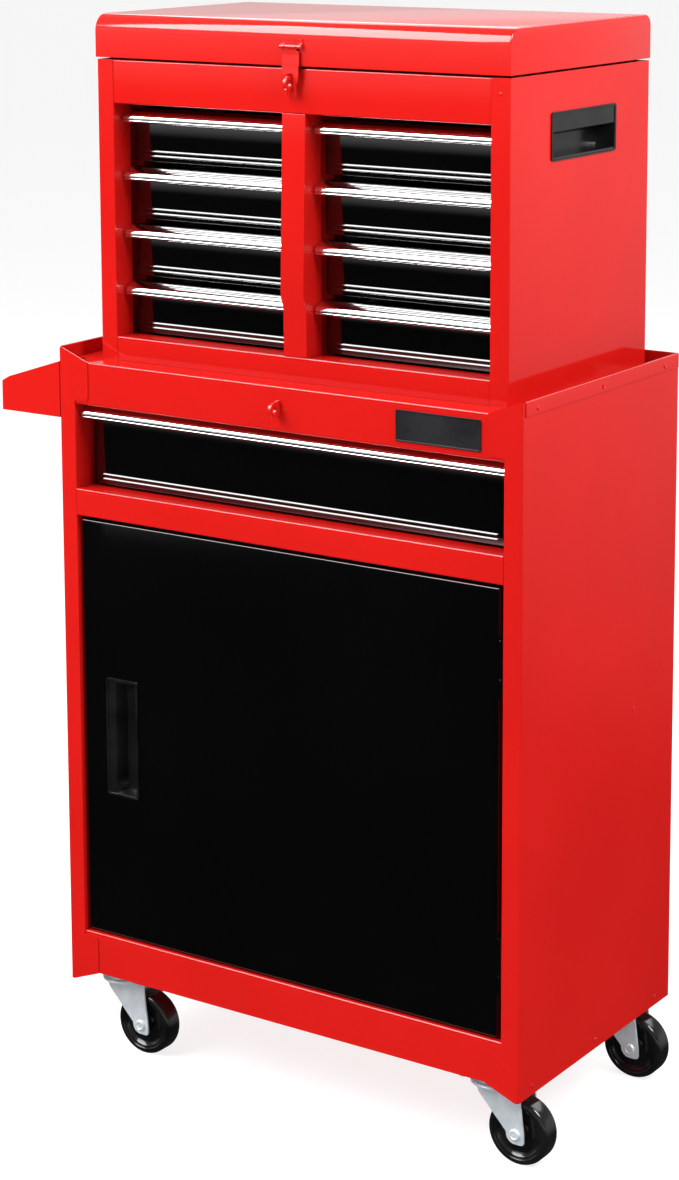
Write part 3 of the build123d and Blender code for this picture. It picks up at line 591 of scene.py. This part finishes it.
def make_pull(node):
    """An extruded pull: a back flange, a sloping top rounded down to a nose, and a lip below a fine groove."""
    s = bpy.context.scene.tool_chest_sizes
    low, high = box(node)
    wall = 1.4
    groove = 0.8
    lip = 1.7
    flange, nose, top = high.y, low.y, high.z
    shoulder = top - s.pull_slope
    foot = low.z + 1.3
    outline = [
        (flange, top),
        (flange - 1.0, top),
        (nose, shoulder),
        (nose, foot + 3.0),
        (nose + groove, foot + 2.5),
        (nose + groove, foot + 1.9),
        (nose, foot + 1.5),
        (nose, foot - 0.6),
        (nose + lip, foot - 0.6),
        (nose + wall, foot + 1.7),
        (nose + wall, shoulder),
        (flange - wall, top - wall),
        (flange - wall, low.z),
        (flange, low.z),
    ]
    # The slope's two ends, its inner side, the lip's corners, and the groove's upper edge.
    rounds = [(1, 1.5, 4), (2, s.pull_nose, 12), (10, s.pull_nose - wall, 8), (7, 0.8, 4), (6, 0.5, 3),
              (8, 0.6, 3), (3, 0.3, 2)]
    bm = bmesh.new()
    prism(bm, "x", low.x, high.x, outline, rounds)
    finish(bm, f"{node}_extrusion", body_of(node), SLOT_OF[node], [node], 0.15)


def make_door():
    """The door's skin: a shallow pan with softly folded edges and a window for the grab cup."""
    s = bpy.context.scene.tool_chest_sizes
    low, high = box("door_skin")
    cup_low, cup_high = box("door_handle_cup")
    cup_rim = 2.4
    fold = 1.6
    bm = bmesh.new()
    cuboid(bm, low, high)
    remove_faces(bm, lambda co, normal: normal.y > 0.9)
    bevel(bm, edges_at(bm, lambda co: near(co.y, low.y)), fold, 4)
    window(bm, Vector((cup_low.x + cup_rim, low.y - 1, cup_low.z + cup_rim)),
           Vector((cup_high.x - cup_rim, low.y + 1, cup_high.z - cup_rim)), "y")
    thicken(bm, s.sheet)
    finish(bm, "door_pan", "door", "black_powder_coat", ["door_skin"], s.eased_edge)


def grab_cup(bm, long, wide, band, depth, place):
    """A moulded grab cup lying in XY with its mouth up: rim, closed band along +Y and tapered pocket."""
    rim = 2.2
    skirt_drop = 1.4
    step = 0.8
    lip = 0.7
    wall = 1.3
    bmesh.ops.create_grid(bm, x_segments=1, y_segments=1, size=0.5,
                          matrix=Matrix.Diagonal((long, wide, 1.0, 1.0)))
    bmesh.ops.bevel(bm, geom=bm.verts[:], offset=3.0, offset_type="OFFSET", segments=5, profile=0.5,
                    affect="VERTICES", clamp_overlap=True, material=-1)
    outer = [e for e in bm.edges if e.is_boundary]
    face = bm.faces[:]
    skirt = bmesh.ops.extrude_edge_only(bm, edges=outer)
    bmesh.ops.translate(bm, vec=(0, 0, -skirt_drop), verts=new_verts(skirt))
    bmesh.ops.inset_region(bm, faces=face, thickness=rim, depth=0.0)
    bmesh.ops.inset_region(bm, faces=face, thickness=0.3, depth=-step)
    split = wide / 2 - rim - band
    bmesh.ops.bisect_plane(bm, geom=face + list(face[0].edges) + list(face[0].verts), plane_co=(0, split, 0),
                           plane_no=(0, 1, 0), dist=0.0001)
    bm.normal_update()
    flat = [f for f in bm.faces if abs(f.normal.z) > 0.9 and abs(f.calc_center_median().z + step) < 0.05]
    mouth = [min(flat, key=lambda f: f.calc_center_median().y)]
    bmesh.ops.inset_region(bm, faces=mouth, thickness=lip, depth=0.0)
    pocket = bmesh.ops.extrude_face_region(bm, geom=mouth)
    floor = new_verts(pocket)
    bmesh.ops.delete(bm, geom=mouth, context="FACES_ONLY")
    bmesh.ops.translate(bm, vec=(0, 0, 1.0 - depth), verts=floor)
    middle = sum((v.co for v in floor), Vector()) / len(floor)
    taper = Matrix.Translation(middle) @ Matrix.Diagonal((0.95, 0.72, 1.0, 1.0)) @ Matrix.Translation(-middle)
    bmesh.ops.transform(bm, matrix=taper, verts=floor)
    bmesh.ops.recalc_face_normals(bm, faces=bm.faces)
    rim_face = next(f for f in bm.faces if abs(f.calc_center_median().z) < 0.01 and abs(f.normal.z) > 0.9)
    if rim_face.normal.z < 0:
        bmesh.ops.reverse_faces(bm, faces=bm.faces)
    bmesh.ops.solidify(bm, geom=bm.faces[:], thickness=wall)
    bmesh.ops.transform(bm, matrix=place, verts=bm.verts)


def make_cups():
    """The grab cups in the chest's sides and the one in the door."""
    low, high = box("chest_handle_cups")
    middle = (low + high) / 2
    side_band, side_depth = 15.0, 18.5
    bm = bmesh.new()
    for x, out in ((low.x, -1), (high.x, 1)):
        one = bmesh.new()
        basis = Matrix((Y_AXIS * out, Z_AXIS, X_AXIS * out)).transposed().to_4x4()
        place = Matrix.Translation((x, middle.y, middle.z)) @ basis
        grab_cup(one, high.y - low.y, high.z - low.z, side_band, side_depth, place)
        mesh = bpy.data.meshes.new("cup")
        one.to_mesh(mesh)
        one.free()
        bm.from_mesh(mesh)
        bpy.data.meshes.remove(mesh)
    finish(bm, "chest_grab_cups", "top_chest", "black_plastic", ["chest_handle_cups"], 0.3)

    low, high = box("door_handle_cup")
    middle = (low + high) / 2
    door_band = 9.0
    basis = Matrix((Z_AXIS, -X_AXIS, -Y_AXIS)).transposed().to_4x4()
    place = Matrix.Translation((middle.x, low.y, middle.z)) @ basis
    bm = bmesh.new()
    grab_cup(bm, high.z - low.z, high.x - low.x, door_band, high.y - low.y - 1.5, place)
    finish(bm, "door_grab_cup", "door", "black_plastic", ["door_handle_cup"], 0.3)


def make_name_plate():
    """A blank plate with a raised rim and rounded corners."""
    low, high = box("name_plate")
    corner = 1.2
    rim = 1.1
    bm = bmesh.new()
    cuboid(bm, low, high)
    for x in (low.x, high.x):
        for z in (low.z, high.z):
            bevel(bm, edges_at(bm, lambda co: near(co.x, x) and near(co.z, z)), corner, 3)
    bm.normal_update()
    face = [f for f in bm.faces if f.normal.y < -0.9]
    bmesh.ops.inset_region(bm, faces=face, thickness=rim, depth=0.0)
    bmesh.ops.inset_region(bm, faces=face, thickness=0.3, depth=-0.35)
    finish(bm, "name_plate_blank", "cabinet", "grey_plate", ["name_plate"], 0.12)


def make_fork(corner):
    """A pressed fork: round crown, two tapering legs and the riveted axle."""
    node = f"caster_fork_{corner}"
    body, slot = f"fork_{corner}", "zinc_plate"
    low, high = box(node)
    wheel_low, wheel_high = box(f"caster_wheel_{corner}")
    crown_radius = 23.0
    crown = 2.5
    inside = 13.0
    outside = 15.0
    end = 9.5
    reach = 34.0
    cx = low.x + crown_radius
    cy = (low.y + high.y) / 2
    axle_x = (wheel_low.x + wheel_high.x) / 2
    axle_z = (wheel_low.z + wheel_high.z) / 2
    head = high.z
    under = head - crown
    bm = bmesh.new()
    verts = disc(bm, (cx, cy, under), Z_AXIS, crown_radius, crown, 64)
    rims = [e for e in {e for v in verts for e in v.link_edges} if near(e.verts[0].co.z, e.verts[1].co.z)]
    bevel(bm, rims, 0.9, 3)
    bridge = [(cy - outside, under), (cy - outside, head), (cy + outside, head), (cy + outside, under)]
    prism(bm, "x", cx, cx + reach, bridge, [(1, 2.0, 4), (2, 2.0, 4)])
    leg = [(cx - 11, head - 0.2), (cx + reach, head - 0.2), (axle_x + end, axle_z), (axle_x + end, axle_z - end),
           (axle_x - end, axle_z - end), (axle_x - end, axle_z + 1), (cx - 11, under - 6)]
    rounds = [(0, 2.5, 4), (1, 2.5, 4), (2, 6.0, 4), (3, end - 0.2, 9), (4, end - 0.2, 9), (5, 9.0, 5),
              (6, 4.0, 4)]
    for y in (cy - outside, cy + inside):
        prism(bm, "y", y, y + outside - inside, leg, rounds)
    finish(bm, f"fork_{corner}_pressing", body, slot, [node], 0.35)

    axle = 3.0
    washer = 6.5
    bm = bmesh.new()
    disc(bm, (axle_x, cy - outside, axle_z), Y_AXIS, axle, 2 * outside, 32)
    for side in (-1, 1):
        domed_head(bm, (axle_x, cy + side * outside, axle_z), (0, side, 0), 5.5, 2.0, 0.7)
        disc(bm, (axle_x, cy + side * (inside - 0.4), axle_z), (0, side, 0), washer, 0.5, 32)
    finish(bm, f"fork_{corner}_axle", body, slot, (), 0.12)


def make_wheel(corner):
    """A moulded wheel: rounded tread, a lip round each face, a deep dish and a hub."""
    s = bpy.context.scene.tool_chest_sizes
    node = f"caster_wheel_{corner}"
    low, high = box(node)
    centre = (low + high) / 2
    radius = (high.z - low.z) / 2
    hub = (high.y - low.y) / 2
    bore = 3.1
    boss = 7.6
    boss_edge = 0.9
    rim = 11.0
    lip = 26.4
    lip_edge = 0.6
    tread = 4.5
    # One face's section as (distance from the axle, distance from the middle), from the bore out to the tread.
    half = [(bore, hub), (boss, hub)] + arc((boss, hub - boss_edge), boss_edge, 90, 0, 3)[1:]
    half += [(9.2, rim - 4.4), (10.2, rim - 5.0), (20.6, rim - 4.6), (22.6, rim - 1.9), (23.4, rim - 1.3),
             (25.3, rim - 1.2), (25.7, rim - 0.5)]
    half += arc((lip, rim - lip_edge), lip_edge, 180, 90, 3)[1:]
    half += arc((radius - tread, rim - tread), tread, 90, 4, 10)
    outline = half + [(r, -y) for r, y in reversed(half)]
    bm = bmesh.new()
    verts = [bm.verts.new((centre.x + r, centre.y + y, centre.z)) for r, y in outline]
    edges = [bm.edges.new((a, b)) for a, b in zip(verts, verts[1:] + verts[:1])]
    bmesh.ops.spin(bm, geom=verts + edges, cent=centre, axis=Y_AXIS, dvec=(0, 0, 0), angle=math.tau,
                   steps=s.wheel_steps, use_merge=True, use_duplicate=False)
    finish(bm, f"wheel_{corner}_moulding", f"wheel_{corner}", "wheel_plastic", [node], 0.15)


def rivet_places():
    """Where the cabinet's blind rivets show: (place, direction that the head faces)."""
    left_low, left_high = box("cabinet_side_left")
    right_high = box("cabinet_side_right")[1]
    well_low, well_high = box("cabinet_well")
    depth = left_high.y - left_low.y
    below_rim = 8.5
    above_foot = 9.0
    places = []
    for share in (0.085, 0.49, 0.9):
        y = left_low.y + depth * share
        for x, out in ((well_low.x, -1), (well_high.x, 1)):
            places.append(((x, y, well_high.z - below_rim), (out, 0, 0)))
        for x, out in ((left_low.x, -1), (right_high.x, 1)):
            places.append(((x, y, left_low.z + above_foot), (out, 0, 0)))
    # One more stands alone, halfway up the right side.
    lone_y = left_low.y + depth * 0.722
    lone_z = left_low.z + depth * 1.078
    places.append(((right_high.x, lone_y, lone_z), (1, 0, 0)))
    return places


def make_rivets():
    """Blind rivets through the folded seams, painted with the steel."""
    s = bpy.context.scene.tool_chest_sizes
    bm = bmesh.new()
    for place, direction in rivet_places():
        domed_head(bm, place, direction, s.rivet_head / 2 * 0.7, 0.9, 0.3)
    finish(bm, "cabinet_rivets", "cabinet", "red_powder_coat", (), 0.1)

    low, high = box("chest_side_right")
    bm = bmesh.new()
    domed_head(bm, (high.x - 9.5, low.y, high.z - 14.0), -Y_AXIS, 1.6, 0.7)
    finish(bm, "chest_rivets", "top_chest", "red_powder_coat", (), 0.1)


# ------------------------------------------------------------------ stage
def area_light(name, place, target, size, power):
    """A soft box that points at a target."""
    data = bpy.data.lights.new(name, "AREA")
    data.shape = "RECTANGLE"
    data.size, data.size_y = size
    data.energy = power
    light = bpy.data.objects.new(name, data)
    bpy.context.scene.collection.objects.link(light)
    light.location = place
    light.rotation_euler = (Vector(target) - Vector(place)).to_track_quat("-Z", "Y").to_euler()
    light.visible_camera = False


def studio_surroundings(horizon, ceiling):
    """What the chest's gloss mirrors: a pale wall round the horizon, a dimmer ceiling, and a floor that is dark
    in front of the chest and paler behind it. The camera itself sees a plain white backdrop."""
    world = bpy.data.worlds.new("studio")
    world.use_nodes = True
    tree = world.node_tree
    tree.nodes.clear()
    place = add(tree, "ShaderNodeTexCoord")
    direction = add(tree, "ShaderNodeSeparateXYZ", [(place, "Generated", "Vector")])
    level = add(tree, "ShaderNodeMapRange", [(direction, "Z", "Value")], in_From_Min=-1.0, in_From_Max=1.0)
    # Brightness by height, as (sine of the elevation, brightness), in front of the chest and behind it.
    front = ((-0.10, 0.01), (0.01, horizon), (0.13, horizon), (0.34, ceiling))
    back = ((-0.32, 0.03), (-0.12, horizon * 0.62), (0.13, horizon), (0.34, ceiling))
    halves = []
    for bands in (front, back):
        ramp = add(tree, "ShaderNodeValToRGB", [(level, "Result", "Fac")])
        while len(ramp.color_ramp.elements) < len(bands):
            ramp.color_ramp.elements.new(1.0)
        for element, (sine, brightness) in zip(ramp.color_ramp.elements, bands):
            element.position = (sine + 1.0) / 2.0
            element.color = (brightness, brightness, brightness, 1.0)
        halves.append(add(tree, "ShaderNodeBackground", [(ramp, "Color", "Color")]))
    behind = add(tree, "ShaderNodeMapRange", [(direction, "Y", "Value")], in_From_Min=-0.2, in_From_Max=0.3)
    mirrored = add(tree, "ShaderNodeMixShader", [(behind, "Result", "Fac")])
    for socket, half in zip((1, 2), halves):
        tree.links.new(half.outputs["Background"], mirrored.inputs[socket])
    backdrop = add(tree, "ShaderNodeBackground", in_Color=(1.0, 1.0, 1.0, 1.0))
    sight = add(tree, "ShaderNodeLightPath")
    both = add(tree, "ShaderNodeMixShader", [(sight, "Is Camera Ray", "Fac")])
    tree.links.new(mirrored.outputs["Shader"], both.inputs[1])
    tree.links.new(backdrop.outputs["Background"], both.inputs[2])
    add(tree, "ShaderNodeOutputWorld", [(both, "Shader", "Surface")])
    return world


def make_stage():
    """The floor, the camera, the lights and what surrounds them."""
    scene = bpy.context.scene
    scene.view_settings.view_transform = "Standard"
    stage = scene.tool_chest_stage
    floor_radius = 60.0
    bm = bmesh.new()
    bmesh.ops.create_circle(bm, cap_ends=True, segments=96, radius=floor_radius)
    mesh = bpy.data.meshes.new("studio_floor")
    bm.to_mesh(mesh)
    bm.free()
    floor = bpy.data.objects.new("studio_floor", mesh)
    tone = scene.tool_chest_colours.floor
    mesh.materials.append(studio_floor("Pale translucent sweep", tone, stage.floor_glow))
    scene.collection.objects.link(floor)

    camera = bpy.data.objects.new("camera", bpy.data.cameras.new("camera"))
    scene.collection.objects.link(camera)
    camera.location = stage.camera_place
    level = math.cos(stage.elevation)
    ahead = Vector((-math.sin(stage.azimuth) * level, math.cos(stage.azimuth) * level,
                    -math.sin(stage.elevation)))
    turn = ahead.to_track_quat("-Z", "Y") @ Quaternion(Z_AXIS, stage.roll)
    camera.rotation_euler = turn.to_euler()
    camera.data.sensor_width = 36.0
    camera.data.lens = stage.lens
    camera.data.shift_y = stage.shift
    scene.camera = camera

    # The sweep isn't mirrored in the gloss, because the surroundings have a floor of their own.
    floor.visible_glossy = False
    scene.world = studio_surroundings(stage.horizon, stage.ceiling)
    aim = Vector((0.0, 0.0, 0.9))
    # Azimuth and elevation are in degrees as seen from the aim, 0 being straight in front of the chest.
    # Distance and size are in metres.
    for name, azimuth, elevation, distance, size, power in (
            ("key_softbox", -36.0, 40.5, 3.2, (2.5, 2.4), stage.key_power * 1.02),
            ("edge_strip", -105.0, 2.0, 2.4, (0.5, 1.6), stage.key_power * 0.04),
            ("side_softbox", 82.0, 34.0, 2.0, (0.9, 0.9), stage.side_power),
            ("back_softbox", 160.0, 40.0, 3.2, (1.6, 2.2), stage.key_power * 0.16),
            ("back_left_softbox", 215.0, 35.0, 3.4, (1.6, 2.2), stage.key_power * 0.16)):
        turn, rise = math.radians(azimuth), math.radians(elevation)
        away = Vector((math.sin(turn) * math.cos(rise), -math.cos(turn) * math.cos(rise), math.sin(rise)))
        area_light(name, aim + away * distance, aim, size, power)


# ------------------------------------------------------------------ operators
class ToolChestOperator:
    bl_options = {"REGISTER", "UNDO"}


class TOOLCHEST_OT_panels(ToolChestOperator, bpy.types.Operator):
    """Finish the folded panels, runners, hinges and caster plates"""
    bl_idname = "toolchest.panels"
    bl_label = "Panels and hardware"

    def execute(self, context):
        for edge, names in CARRIED.items():
            for name in names:
                carry(name, edge)
        return {"FINISHED"}


class TOOLCHEST_OT_lid(ToolChestOperator, bpy.types.Operator):
    """Build the lid and its hasp"""
    bl_idname = "toolchest.lid"
    bl_label = "Lid and hasp"

    def execute(self, context):
        make_lid()
        make_hasp()
        return {"FINISHED"}


class TOOLCHEST_OT_drawers(ToolChestOperator, bpy.types.Operator):
    """Build the drawers and their pulls"""
    bl_idname = "toolchest.drawers"
    bl_label = "Drawers"

    def execute(self, context):
        for name in DRAWERS:
            make_drawer(f"drawer_{name}", 7.0, f"drawer_{name}")
            make_pull(f"pull_{name}")
        make_drawer("wide_drawer", 8.5, "wide_drawer")
        make_pull("wide_drawer_pull")
        return {"FINISHED"}


class TOOLCHEST_OT_door(ToolChestOperator, bpy.types.Operator):
    """Build the door's skin, the grab cups and the name plate"""
    bl_idname = "toolchest.door"
    bl_label = "Door, grab cups and name plate"

    def execute(self, context):
        make_door()
        make_cups()
        make_name_plate()
        return {"FINISHED"}


class TOOLCHEST_OT_casters(ToolChestOperator, bpy.types.Operator):
    """Build the casters' forks and wheels"""
    bl_idname = "toolchest.casters"
    bl_label = "Casters"

    def execute(self, context):
        for corner in CORNERS:
            make_fork(corner)
            make_wheel(corner)
        return {"FINISHED"}


class TOOLCHEST_OT_rivets(ToolChestOperator, bpy.types.Operator):
    """Set the rivets in the seams"""
    bl_idname = "toolchest.rivets"
    bl_label = "Rivets"

    def execute(self, context):
        make_rivets()
        return {"FINISHED"}


class TOOLCHEST_OT_stage(ToolChestOperator, bpy.types.Operator):
    """Set up the floor, the lights and the camera"""
    bl_idname = "toolchest.stage"
    bl_label = "Stage"

    def execute(self, context):
        make_stage()
        return {"FINISHED"}


OPERATORS = (TOOLCHEST_OT_panels, TOOLCHEST_OT_lid, TOOLCHEST_OT_drawers, TOOLCHEST_OT_door, TOOLCHEST_OT_casters,
             TOOLCHEST_OT_rivets, TOOLCHEST_OT_stage)


class TOOLCHEST_PT_panel(bpy.types.Panel):
    """The tool chest's settings and its operators"""
    bl_idname = "TOOLCHEST_PT_panel"
    bl_label = "Tool chest"
    bl_space_type = "VIEW_3D"
    bl_region_type = "UI"
    bl_category = "Tool Chest"

    def draw(self, context):
        layout = self.layout
        for group in GROUPS:
            settings = getattr(context.scene, group)
            for name in settings.__annotations__:
                layout.prop(settings, name)
        for operator in OPERATORS:
            layout.operator(operator.bl_idname)


GROUPS = {
    "tool_chest_sizes": ToolChestSizes,
    "tool_chest_colours": ToolChestColours,
    "tool_chest_stage": ToolChestStage,
}


def register():
    for cls in (*GROUPS.values(), *OPERATORS, TOOLCHEST_PT_panel):
        bpy.utils.register_class(cls)
    for name, cls in GROUPS.items():
        setattr(bpy.types.Scene, name, PointerProperty(type=cls))


def unregister():
    for name in GROUPS:
        delattr(bpy.types.Scene, name)
    for cls in reversed((*GROUPS.values(), *OPERATORS, TOOLCHEST_PT_panel)):
        bpy.utils.unregister_class(cls)


def main():
    register()
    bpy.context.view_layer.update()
    FINISH.update(materials())
    bpy.ops.toolchest.panels()
    bpy.ops.toolchest.lid()
    bpy.ops.toolchest.drawers()
    bpy.ops.toolchest.door()
    bpy.ops.toolchest.casters()
    bpy.ops.toolchest.rivets()
    bpy.ops.toolchest.stage()


if __name__ == "__main__":
    main()
